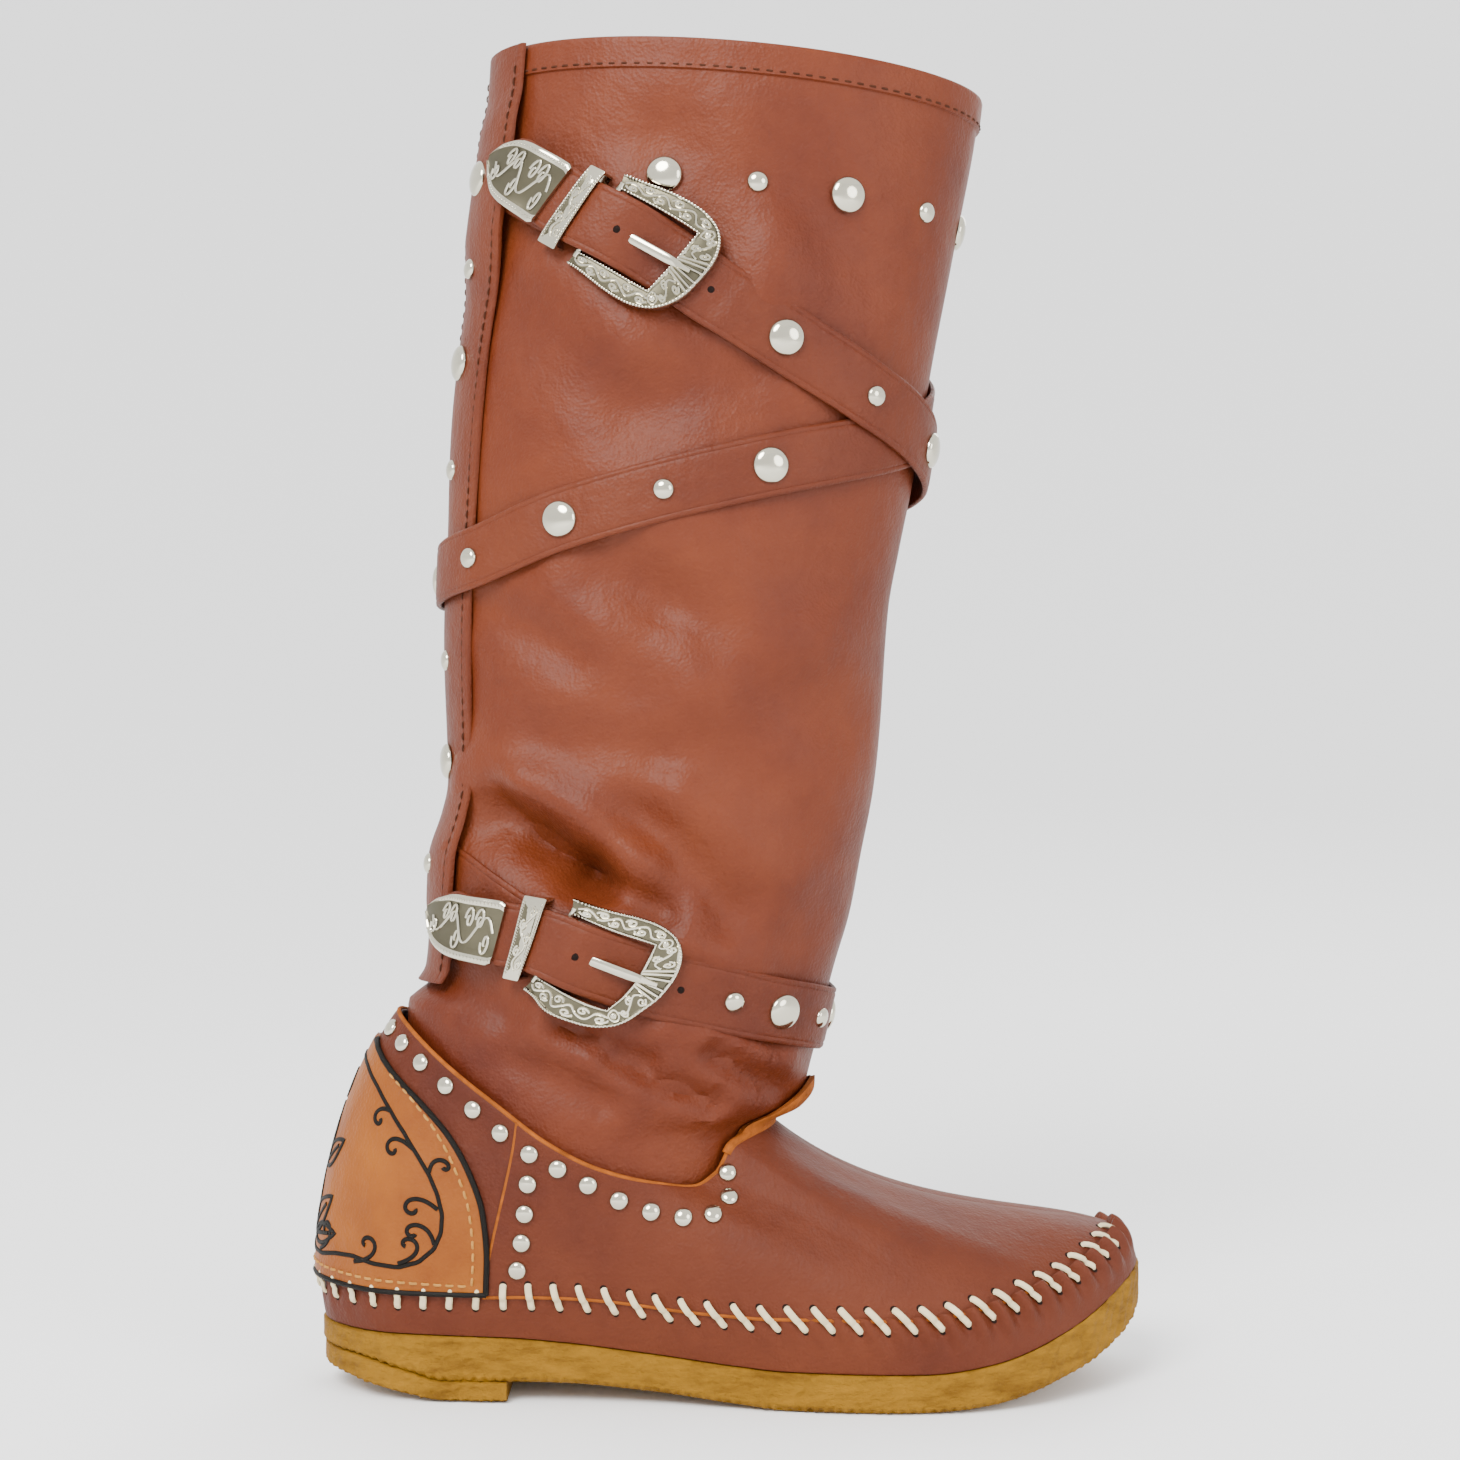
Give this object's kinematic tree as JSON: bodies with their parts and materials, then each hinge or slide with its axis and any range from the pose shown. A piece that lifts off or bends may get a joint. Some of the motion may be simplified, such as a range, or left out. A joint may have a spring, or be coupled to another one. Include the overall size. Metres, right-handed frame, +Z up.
{
  "type": "moccasin boot",
  "caption": "Right mid-calf leather boot with a moccasin foot, crepe sole, hollow shaft and two riveted buckle straps wound round it.",
  "frame": {"origin": "on the floor under the middle of the heel's flat spot", "axes": "+X towards the toe, -Y the lateral side of this right boot, +Z up the shaft"},
  "size_m": [0.2633, 0.1037, 0.414],
  "materials": {
    "leather": "smooth waxed cognac leather with soft creases",
    "crepe_sole": "matte ochre gum crepe with a rough cut edge",
    "insole": "plain tan leather",
    "patch": "tooled ochre leather with a dark edge",
    "nickel": "polished nickel, engraved"
  },
  "bodies": {
    "root": {"upper": "leather", "shaft": "leather", "back_strip": "leather", "wrap_strap": "leather", "ankle_strap": "leather", "outsole": "crepe_sole", "heel_lift": "crepe_sole", "insole": "insole", "heel_patch": "patch", "wrap_buckle_frame": "nickel", "wrap_buckle_prong": "nickel", "wrap_buckle_keeper": "nickel", "wrap_buckle_tip": "nickel", "ankle_buckle_frame": "nickel", "ankle_buckle_prong": "nickel", "ankle_buckle_keeper": "nickel", "ankle_buckle_tip": "nickel", "collar_stud_01": "nickel", "collar_stud_02": "nickel", "collar_stud_03": "nickel", "collar_stud_04": "nickel", "collar_stud_05": "nickel", "strip_stud_01": "nickel", "strip_stud_02": "nickel", "strip_stud_03": "nickel", "wrap_stud_01": "nickel", "wrap_stud_02": "nickel", "wrap_stud_03": "nickel", "wrap_stud_04": "nickel", "wrap_stud_05": "nickel", "wrap_stud_06": "nickel", "wrap_stud_07": "nickel", "wrap_stud_08": "nickel", "wrap_stud_09": "nickel", "ankle_stud_01": "nickel", "ankle_stud_02": "nickel", "ankle_stud_03": "nickel", "ankle_stud_04": "nickel", "ankle_stud_05": "nickel", "ankle_stud_06": "nickel"}
  },
  "joints": []
}
